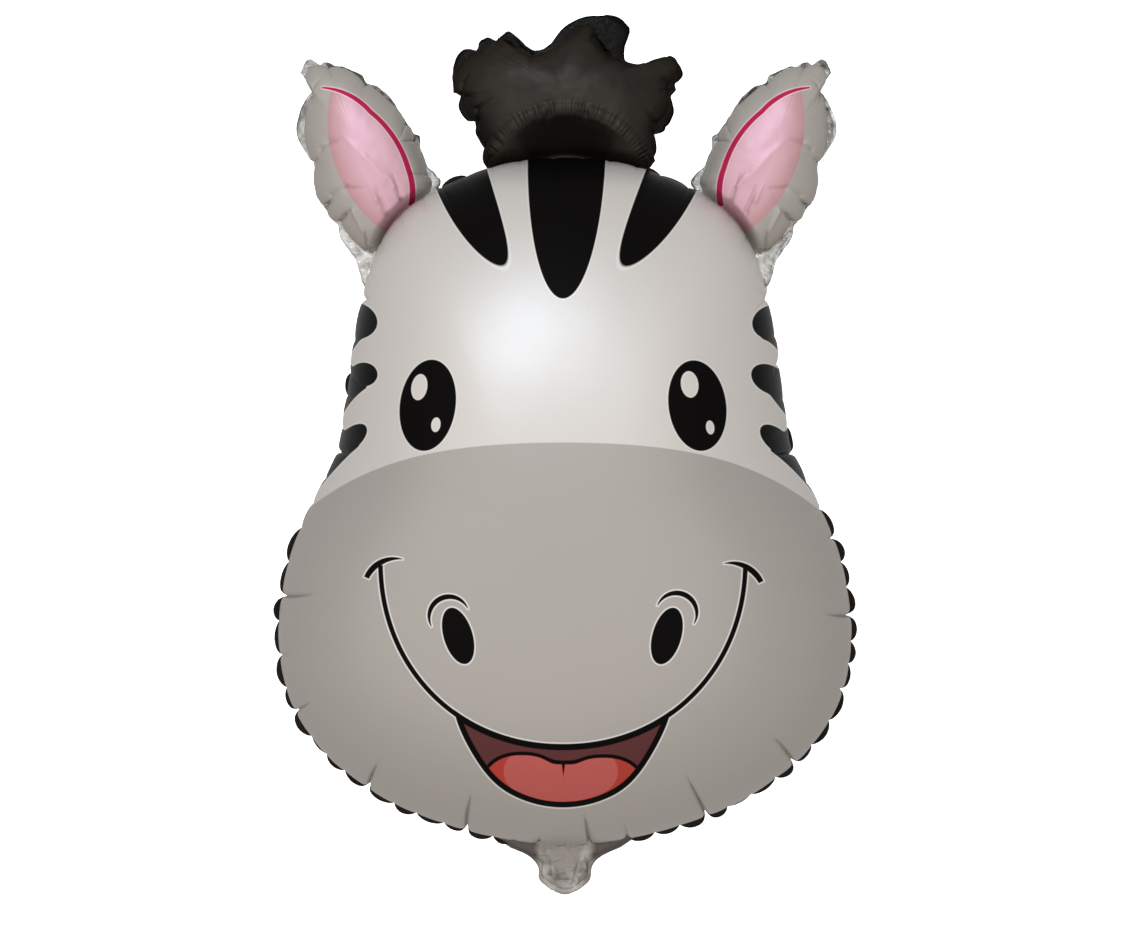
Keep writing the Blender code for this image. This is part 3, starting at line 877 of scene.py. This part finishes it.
# The face's print, in millimetres from the middle of the face and of the balloon's length
face = {
    "middle": -1.7,  # the print's own middle line, from the balloon's
    "eyes": (
        {"at": (-115.2, 41.6), "half": (23.8, 39.2), "lean": 8,
         "lights": (((-122.4, 57.1), (6.7, 11.2), 10), ((-108.3, 25.0), (3.9, 6.2), 8))},
        {"at": (114.6, 41.3), "half": (24.6, 38.9), "lean": -8,
         "lights": (((108.0, 59.4), (7.4, 11.3), -8), ((125.5, 22.7), (3.5, 5.9), -8))},
    ),
    "lightRim": 1.2,  # pale line round the lights in the eyes
    "nostrils": (
        {"at": (-89.3, -155.0), "half": (12.4, 24.9), "lean": -17},
        {"at": (88.6, -155.1), "half": (12.4, 24.9), "lean": 16},
    ),
    "nostrilBrows": (
        ((-112.2, -146.7), (-97.5, -121.6), (-81.2, -131.4)),
        ((80.8, -128.8), (97.6, -118.5), (111.9, -144.4)),
    ),
    "browWidths": (0.4, 2.3, 0.4),
    "smile": {"at": (0, -91.6), "half": (155.5, 157.7), "power": 2.08, "halfWidth": 2.1, "top": -94.6},
    "smileEnds": (
        ((-167.3, -105.1), (-156.8, -93.2), (-137.1, -89.5)),
        ((168.8, -108.8), (157.2, -96.7), (137.7, -93.2)),
    ),
    "endWidths": (2.3, 2.4, 0.3),
    "mouth": {
        "edges": (
            ((-94.6, -223.7), (-83.6, -245.8), (-70.6, -267.9)),
            ((-47.9, -288.1), (-1.0, -301.2), (47.9, -288.1)),
            ((92.6, -223.7), (82.0, -245.8), (69.2, -267.9)),
        ),
        "inside": (0, -250), "corner": 10, "line": 5.0, "top": -215,
        "lipLine": (1.1, 1.5),  # where the black and the throat start, in half widths of the smile's line
    },
    "tongue": {
        "lobes": (((-34.9, -287.7), (37.1, 34.1)), ((34.5, -288.6), (37.5, 32.8)), ((0, -285), (26, 23.2))),
        "joins": (26.0, 8.0),  # how softly the lobes meet each other and what lies between them
        "power": 2.3, "line": 3.2,
        "middle": ((-1.9, -270.6), (48.6, 25.6)), "middlePower": 2.2,
        "cleft": (0.4, -275.7), "cleftWidening": 0.13,  # from the lower end of the short cleft upwards
    },
    "muzzle": {"top": 9.8, "drop": 5.526e-4, "steeperDrop": 1.36e-8},
    "paleSeam": {"width": 0.5, "top": -75, "softness": 40, "strength": 0.5},
    "seamLineTop": -42,  # up to here the seam is black
    "foreheadStripe": {"at": (3.3, 259.5), "half": (33.2, 127.0), "lean": 1.6},
    # Stripes beside it, between two arcs, each through three points
    "crownStripes": (
        {"inside": (-64, 200), "tip": 60, "edges": (
            ((-109.3, 229.6), (-90.0, 191.8), (-62.7, 159.4)),
            ((-69.0, 256.7), (-54.3, 209.7), (-39.6, 162.6)),
        )},
        {"inside": (68, 200), "tip": 60, "edges": (
            ((115.8, 228.7), (93.9, 191.7), (64.9, 159.8)),
            ((71.7, 245.2), (58.1, 209.8), (44.9, 174.3)),
        )},
    ),
    # Stripes on the cheeks: a leaning oval, and a tail with a curved lower edge
    "tails": {"inside": (6, 5), "past": 7, "corner": 2.0, "join": 3.0},
    "cheekStripes": (
        {"at": (-179.6, 114.2), "half": (21.6, 16.1), "lean": 10,
         "tail": ((-165.1, 105.7), (-173.5, 96.6), (-180.7, 86.4))},
        {"at": (-169.9, 68.0), "half": (11.9, 10.2), "lean": 0,
         "tail": ((-167.3, 56.6), (-179.7, 45.6), (-189.1, 30.9))},
        {"at": (-180.9, 13.1), "half": (8.7, 16.9), "lean": 49,
         "tail": ((-174.2, 7.1), (-200.8, -20.3), (-224.0, -50.7))},
        {"at": (180.5, 112.5), "half": (19.3, 15.2), "lean": -8,
         "tail": ((169.8, 98.7), (182.6, 89.3), (189.0, 74.8))},
        {"at": (176.0, 64.0), "half": (11.6, 16.7), "lean": -60,
         "tail": ((168.5, 61.1), (184.0, 40.9), (200.1, 21.2))},
        {"at": (182.6, 11.8), "half": (9.2, 17.8), "lean": -49,
         "tail": ((176.9, 3.0), (210.6, -29.4), (235.1, -69.2))},
    ),
}


def printPlane(recipe):
    # Millimetres across and up the print; the swelling brings the face forward, which enlarges it a little
    x, y, z = recipe.parts(recipe.place())
    lift = recipe.math("MAXIMUM", z - seamHeight, 0.0)
    grow = 1000 * eyeDistance / (eyeDistance - lift)
    return x * grow - face["middle"], y * grow, z


def facePrint(recipe):
    x, y, z = printPlane(recipe)
    front = recipe.math("GREATER_THAN", z, seamHeight)

    across = x * x
    muzzle = face["muzzle"]
    muzzleEdge = y - muzzle["top"] + across * (muzzle["drop"] + across * muzzle["steeperDrop"])
    colour = recipe.colours(cover(recipe, muzzleEdge), ink["white"], ink["muzzle"])

    shapes = stripesOf(recipe, x, y)
    drawn = []
    for eye in face["eyes"]:
        drawn.append(oval(recipe, x, y, eye["at"], eye["half"], eye["lean"]))
    for nostril in face["nostrils"]:
        drawn.append(oval(recipe, x, y, nostril["at"], nostril["half"], nostril["lean"]))
    for points in face["nostrilBrows"]:
        drawn.append(stroke(recipe, x, y, points, face["browWidths"]))
    for points in face["smileEnds"]:
        drawn.append(stroke(recipe, x, y, points, face["endWidths"]))
    smile = face["smile"]
    grin = oval(recipe, x, y, smile["at"], smile["half"], power=smile["power"])
    drawn.append(recipe.most(abs(grin) - smile["halfWidth"], y - smile["top"]))
    mouth = face["mouth"]
    left, bottom, right = (arcEdge(recipe, x, y, points, mouth["inside"]) for points in mouth["edges"])
    bowl = recipe.math("SMOOTH_MAX", recipe.most(left, right), bottom, mouth["corner"])
    lipLine, throatLine = (smile["halfWidth"] * share for share in mouth["lipLine"])
    drawn.append(recipe.most(bowl, -grin - lipLine, y - mouth["top"]))
    onlyInFront = farOff - front * (2 * farOff)
    black = recipe.least(*shapes, recipe.most(recipe.least(*drawn), onlyInFront))

    # The muzzle's print ends in a pale line at the seam
    paleSeam = face["paleSeam"]
    fromSeam = recipe.attribute("inFromSeam") * 1000
    upTo = cover(recipe, (y - paleSeam["top"]) / paleSeam["softness"])
    pale = cover(recipe, fromSeam - paleSeam["width"]) * upTo * paleSeam["strength"]
    colour = recipe.colours(pale, colour, ink["line"])
    colour = recipe.colours(cover(recipe, black - paleGap), colour, ink["line"])
    colour = recipe.colours(cover(recipe, black), colour, ink["black"])

    # Inside the mouth: dark throat, two-lobed tongue with its own line, lighter in the middle
    throat = recipe.most(bowl + mouth["line"], throatLine - grin)
    tongue = face["tongue"]
    leftLobe, rightLobe, between = (
        oval(recipe, x, y, at, half, power=tongue["power"]) for at, half in tongue["lobes"]
    )
    lobes = recipe.math("SMOOTH_MIN", leftLobe, rightLobe, tongue["joins"][0])
    lobes = recipe.math("SMOOTH_MIN", lobes, between, tongue["joins"][1])
    inMouth = cover(recipe, throat) * front
    colour = recipe.colours(inMouth, colour, ink["mouth"])
    colour = recipe.colours(inMouth * cover(recipe, lobes), colour, ink["black"])
    cleft = abs(x - tongue["cleft"][0]) - (y - tongue["cleft"][1]) * tongue["cleftWidening"]
    flesh = inMouth * cover(recipe, recipe.most(lobes + tongue["line"], -cleft))
    colour = recipe.colours(flesh, colour, ink["tongueEdge"])
    middleAt, middleHalf = tongue["middle"]
    middle = oval(recipe, x, y, middleAt, middleHalf, power=tongue["middlePower"])
    colour = recipe.colours(flesh * cover(recipe, middle), colour, ink["tongue"])

    for eye in face["eyes"]:
        for at, half, lean in eye["lights"]:
            light = oval(recipe, x, y, at, half, lean)
            colour = recipe.colours(cover(recipe, light) * front, colour, ink["line"])
            colour = recipe.colours(cover(recipe, light + face["lightRim"]) * front, colour, ink["eyeLight"])
    return colour


# How crumpled the foil is, in millimetres of height
grain = {
    "gathers": 0.55,  # fine pleats that run in from the seam
    "gatherPitch": 150,
    "gatherReach": 0.016,  # metres over which they fade
    "ripple": 0.30,
    "rippleScale": 16,
    "mottle": 0.05,
    "mottleScale": 260,
    "otherSide": 0.05,  # metres between the patterns of the front and the back
    "crinkleScales": (95, 210),
    "fineCrinkle": 0.4,
    "crinkle": {"headSeam": 0.5, "bare": 1.8, "maneSeam": 2.4},
}
sheenScale = 22

# Roughness: its middle, and how far it varies
sheen = {
    "head": (0.38, 0.05),
    "headSeam": (0.38, 0.08),
    "ear": (0.41, 0.06),
    "bare": (0.30, 0.10),
    "mane": (0.46, 0.08),
    "maneSeam": (0.34, 0.08),
    "floor": (0.85, 0.05),
}


def gathers(recipe, rim, amount):
    # Pleats square to the seam: noise that changes along the seam only
    x, y, z = recipe.parts(recipe.place())
    dx, dy = x - float(rim.centre[0]), y - float(rim.centre[1])
    away = (dx * dx + dy * dy) ** 0.5 + 1e-5
    around = float(rim.radii.mean())
    side = recipe.math("SIGN", z - seamHeight) * grain["otherSide"]
    run = recipe.wire("ShaderNodeCombineXYZ", 0, {}, {0: dx / away * around, 1: dy / away * around, 2: side})
    pleats = recipe.noise(run, grain["gatherPitch"], 2.0)
    fade = recipe.math("EXPONENT", -recipe.attribute("inFromSeam") / grain["gatherReach"])
    return (pleats - 0.5) * fade * amount


def foilHeight(recipe, rim=None, gathered=0.0, ripple=1.0, crinkle=0.0):
    at = recipe.place()
    height = (recipe.noise(at, grain["rippleScale"], 2.0) - 0.5) * (grain["ripple"] * ripple)
    height = height + (recipe.noise(at, grain["mottleScale"], 1.0) - 0.5) * grain["mottle"]
    if rim:
        height = height + gathers(recipe, rim, gathered)
    if crinkle:
        coarse, fine = grain["crinkleScales"]
        creases = abs(recipe.noise(at, coarse, 3.0, 0.6) - 0.5)
        creases = creases + abs(recipe.noise(at, fine, 2.0) - 0.5) * grain["fineCrinkle"]
        height = height - creases * crinkle
    return height


def roughnessOf(recipe, finish):
    middle, spread = sheen[finish]
    return recipe.noise(recipe.place(), sheenScale, 3.0) * spread + (middle - spread / 2)


printedFoil = {"Metallic": 0.30, "Specular IOR Level": 0.02}
blackFoil = {"Metallic": 0.85, "Specular IOR Level": 0.05, "Specular Tint": (0.30, 0.28, 0.26, 1.0)}
bareFoil = {"Metallic": 0.55, "Specular IOR Level": 0.25}


def headFoilMaterial(rim):
    recipe = Recipe("printedHeadFoil")
    colour = facePrint(recipe)
    height = foilHeight(recipe, rim, grain["gathers"])
    return recipe.finish(colour, roughnessOf(recipe, "head"), recipe.bump(height), printedFoil)


def headSeamMaterial():
    # The seam takes the print's black line round the muzzle, and the print itself higher up
    recipe = Recipe("printedHeadSeam")
    x, y, z = printPlane(recipe)
    black = recipe.least(*stripesOf(recipe, x, y), y - face["seamLineTop"])
    colour = recipe.colours(cover(recipe, black), ink["white"], ink["seamBlack"])
    height = foilHeight(recipe, crinkle=grain["crinkle"]["headSeam"])
    return recipe.finish(colour, roughnessOf(recipe, "headSeam"), recipe.bump(height), printedFoil)


earPrint = {
    "middle": 0.85,  # the two ears' middle line, in millimetres
    "leafOuter": ((-200.5, 309.6), (-196.1, 244.3), (-157.2, 191.7)),
    "leafInner": ((-200.0, 312.0), (-160.0, 286.0), (-131.0, 224.0)),
    "line": (
        (((-207.7, 312.6), (-188.5, 308.0), (-167.0, 292.3)), (0.7, 1.8, 2.0)),
        (((-167.0, 292.3), (-146.9, 270.5), (-134.5, 243.5)), (2.0, 2.1, 2.3)),
        (((-134.5, 243.5), (-130.9, 228.0), (-132.0, 212.0)), (2.3, 2.5, 2.5)),
    ),
    "inside": (-170, 250),
    "shadeReach": 20,  # over which the pink is painted darker beside the leaf's outer edge, as painted shade where the ear turns away
    "lineRim": 0.8,
}


def earMaterial(rim, name, mirrored):
    recipe = Recipe(name)
    x, y, z = printPlane(recipe)
    across = x + (face["middle"] - earPrint["middle"])
    if mirrored:
        across = -across
    front = recipe.math("GREATER_THAN", z, seamHeight)
    line = recipe.least(*(stroke(recipe, across, y, points, widths) for points, widths in earPrint["line"]))
    innerEdge, outerEdge = (
        arcEdge(recipe, across, y, earPrint[edge], earPrint["inside"]) for edge in ("leafInner", "leafOuter")
    )
    # Painted shade: the pink darkens towards the leaf's outer edge, where the ear's side turns away from the
    # light
    deep = recipe.math("MULTIPLY_ADD", outerEdge, 1 / earPrint["shadeReach"], 1.0, clamp=True)
    flesh = recipe.colours(deep, ink["pink"], ink["pinkShade"])
    colour = recipe.colours(cover(recipe, recipe.most(innerEdge, outerEdge)) * front, ink["silver"], flesh)
    colour = recipe.colours(cover(recipe, line - earPrint["lineRim"]) * front, colour, ink["pinkLight"])
    colour = recipe.colours(cover(recipe, line) * front, colour, ink["pinkLine"])
    height = foilHeight(recipe, rim, grain["gathers"] * 0.8, ripple=1.3)
    return recipe.finish(colour, roughnessOf(recipe, "ear"), recipe.bump(height), printedFoil)


def bareFoilMaterial(name):
    recipe = Recipe(name)
    height = foilHeight(recipe, crinkle=grain["crinkle"]["bare"])
    # Painted highlights and painted shade: random patches and each lobe's painted shade swing the bare foil
    # from dark to bright, standing in for its crinkled reflections
    tone = (recipe.noise(recipe.place(), 110, 3.0) - 0.5) * 2.2 + recipe.attribute("tone") * 0.85 - 0.05
    colour = recipe.colours(tone, ink["bareShade"], ink["bareHighlight"])
    return recipe.finish(colour, roughnessOf(recipe, "bare"), recipe.bump(height), bareFoil)


def maneMaterial(rim):
    recipe = Recipe("blackManeFoil")
    height = foilHeight(recipe, rim, grain["gathers"], ripple=1.2) + browPleats(recipe)
    tone = recipe.noise(recipe.place(), 30, 2.0)
    colour = recipe.colours(tone, ink["maneDark"], ink["mane"])
    return recipe.finish(colour, roughnessOf(recipe, "mane"), recipe.bump(height), blackFoil)


def browPleats(recipe):
    # Short upright pleats along the mane's brow
    x, y, z = recipe.parts(recipe.place())
    centre = spot(mane["browCentre"])
    dx, dy = x - float(centre[0]), y - float(centre[1])
    away = (dx * dx + dy * dy) ** 0.5 + 1e-5
    pleats = mane["pleats"]
    drum = pleats["drum"]
    run = recipe.wire("ShaderNodeCombineXYZ", 0, {}, {0: dx / away * drum, 1: dy / away * drum, 2: 0.0})
    fromRow = away - (mane["browRadius"] + pleats["above"]) * unit
    near = recipe.math("EXPONENT", -((fromRow / pleats["reach"]) ** 2))
    return (recipe.noise(run, pleats["pitch"], 1.0) - 0.5) * near * pleats["height"]


def maneSeamMaterial():
    recipe = Recipe("blackManeSeam")
    height = foilHeight(recipe, crinkle=grain["crinkle"]["maneSeam"])
    return recipe.finish(ink["maneSeam"], roughnessOf(recipe, "maneSeam"), recipe.bump(height), blackFoil)


neckPrint = {
    "middle": 1.7,  # the neck's own middle line, in millimetres from the print's
    "printed": ((1.7, -330.0), (15.0, 24.0)),  # the print ends in an oval
    "printWanders": 6,
    "printSoftness": 4,
    "webFrom": 21,  # from the middle, where the painted shade on the sheet's corners starts
    "webSoftness": 5,
    "webWanders": 10,
}


def neckMaterial():
    # The muzzle's grey print runs a little way down the neck, and bare foil follows
    recipe = Recipe("neckFoil")
    x, y, z = printPlane(recipe)
    tone = recipe.noise(recipe.place(), 80, 3.0)
    # Random patches of painted shade and painted highlight on the bare neck foil, standing in for its
    # crinkled reflections
    bare = recipe.colours((tone - 0.5) * 1.8 + 0.5, ink["neckShade"], ink["neckHighlight"])
    printed = oval(recipe, x, y, *neckPrint["printed"]) + (tone - 0.5) * neckPrint["printWanders"]
    colour = recipe.colours(cover(recipe, printed / neckPrint["printSoftness"]), bare, ink["neck"])
    # Painted shade: the bare sheet is painted darker towards its corners on both sides
    soft = neckPrint["webSoftness"]
    aside = abs(x - neckPrint["middle"]) + (tone - 0.5) * neckPrint["webWanders"]
    cornerShade = recipe.math("MULTIPLY_ADD", aside, 1 / soft, -neckPrint["webFrom"] / soft, clamp=True)
    colour = recipe.colours(cornerShade, colour, ink["cornerShade"])
    height = foilHeight(recipe, crinkle=grain["crinkle"]["bare"])
    return recipe.finish(colour, roughnessOf(recipe, "bare"), recipe.bump(height), bareFoil)


sharedBandTree = bandTree()


def dress(piece, material, replaced=False):
    if not piece.data.materials:
        piece.data.materials.append(material)
    piece.data.materials[0] = material
    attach(piece, "root")
    if replaced:
        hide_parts("foil_envelope")
    return piece


def buildHead():
    foil, line = swollenFoil("headFoil", headRim, head, head["creases"], head["folds"], hollow=foreheadHollow)
    dress(foil, headFoilMaterial(headRim), replaced=True)
    seamFoil = headSeamMaterial()
    dress(seamBand("headSeam", head, headRim, line, seamFoil), seamFoil)
    print("head made,", line["lobes"], "scallops")


def buildEar(name, mirrored):
    def placed(point, middle=ear["middle"]):
        return (2 * middle - point[0], point[1]) if mirrored else point

    def turned(degrees):
        return 180 - degrees if mirrored else degrees

    centre = placed(ear["centre"])
    rim = Rim(closedLoop([placed(p) for p in ear["body"]]), centre, smoothing=ear["smoothing"])
    outerRim = Rim(closedLoop([placed(p) for p in ear["band"]]), centre)
    middle = ear["middle"] * unit / mm
    creases = [(turned(a), placed(p, middle), d) for a, p, d in ear["creases"]]
    folds = [(placed(a, middle), placed(b, middle), w, d) for a, b, w, d in ear["folds"]]
    foil, line = swollenFoil(name + "Foil", rim, ear, creases, folds, hollow=earHollow)
    dress(foil, earMaterial(rim, name + "Foil", mirrored))
    bare = bareFoilMaterial(name + "SeamFoil")
    shadeOf = mirroredEarSeamShade if mirrored else earSeamShade
    dress(seamBand(name + "Seam", ear, rim, line, bare, outerRim, shadeOf, mirrored), bare)
    print(name, "made")


def buildMane():
    rim = Rim(closedLoop(mane["body"]), mane["centre"], smoothing=mane["smoothing"])
    outerRim = Rim(closedLoop(mane["band"]), mane["centre"])
    foil, line = swollenFoil("maneFoil", rim, mane, mane["creases"], mane["folds"], hollow=browHollow)
    dress(foil, maneMaterial(rim))
    seamFoil = maneSeamMaterial()
    dress(seamBand("maneSeam", mane, rim, line, seamFoil, outerRim), seamFoil)
    print("mane made")


def buildNeck():
    rim = Rim(closedLoop(bothHalves(neck["outline"])), neck["centre"])
    foil, line = swollenFoil("neckFoil", rim, neck, neck["creases"], neck["folds"])
    material = neckMaterial()
    dress(foil, material)
    dress(seamBand("neckSeam", neck, rim, line, material, outerRim=rim), material)
    print("neck made")


studio = {
    "floorColours": (srgb(248, 247, 245), srgb(250, 249, 247)),
    "floorGlow": 0.90,  # the pale floor is a lit tracing table
    "domeTop": 1.42,
    "domeEdge": 0.64,
    "domeBright": 0.93,  # cosines from the dome's axis where its light is full, and where it is least
    "domeDim": 0.42,
    "domeAxis": (-0.16, -0.03, 0.987),
    "key": {"at": (-0.35, 1.85, 2.6), "aim": (-0.02, 0.106, 0.25), "size": 0.7, "power": 19,
            "colour": (0.62, 0.79, 1.0)},
    "pictureWidth": 0.9665,  # metres of the seam's plane that the frame's width takes in
    "pictureCentre": (0.0017, -0.0077),
}


def areaLight(name, sizes):
    lamp = bpy.data.lights.new(name, "AREA")
    lamp.shape = "DISK"
    lamp.size = sizes["size"]
    lamp.energy = sizes["power"]
    lamp.color = sizes["colour"]
    light = addedToScene(name, lamp)
    light.location = sizes["at"]
    aim = Vector(sizes["aim"]) - Vector(sizes["at"])
    light.rotation_euler = aim.to_track_quat("-Z", "Y").to_euler()


def buildStudio():
    scene = bpy.context.scene
    bpy.ops.mesh.primitive_plane_add(size=8, location=(0, 0, -0.0005))
    floor = bpy.context.object
    floor.name = "floor"
    recipe = Recipe("palePaper")
    tone = recipe.noise(recipe.place(), 3.0, 2.0)
    colour = recipe.colours(tone, *studio["floorColours"])
    floor.data.materials.append(recipe.finish(
        colour, roughnessOf(recipe, "floor"), recipe.bump(tone * 0.1),
        {"Specular IOR Level": 0.1, "Emission Color": (1, 1, 1, 1), "Emission Strength": studio["floorGlow"]},
    ))
    floor.visible_diffuse = False  # dark flags keep the floor's light off the foil
    floor.visible_glossy = False

    world = bpy.data.worlds.new("softRoom")
    scene.world = world
    world.use_nodes = True
    room = world.node_tree
    background = room.nodes["Background"]
    background.inputs["Color"].default_value = (1, 1, 1, 1)
    towards = treeNode(room, "ShaderNodeTexCoord")
    upwards = treeNode(room, "ShaderNodeVectorMath", {"operation": "DOT_PRODUCT"},
                       {0: towards.outputs["Generated"], 1: studio["domeAxis"]})
    fading = treeNode(room, "ShaderNodeMapRange", {"interpolation_type": "SMOOTHSTEP"}, {
        "Value": upwards.outputs["Value"], "From Min": studio["domeDim"], "From Max": studio["domeBright"],
        "To Min": studio["domeEdge"], "To Max": studio["domeTop"],
    })
    room.links.new(fading.outputs["Result"], background.inputs["Strength"])
    areaLight("keySoftbox", studio["key"])

    lens = bpy.data.cameras.new("camera")
    lens.sensor_width = 36
    lens.lens = lens.sensor_width * eyeDistance / studio["pictureWidth"]
    lens.clip_end = 50
    camera = addedToScene("camera", lens)
    camera.location = (*studio["pictureCentre"], seamHeight + eyeDistance)
    scene.camera = camera
    scene.view_settings.view_transform = "Standard"
    print("studio made")


buildStudio()
buildHead()
buildEar("leftEar", False)
buildEar("rightEar", True)
buildMane()
buildNeck()
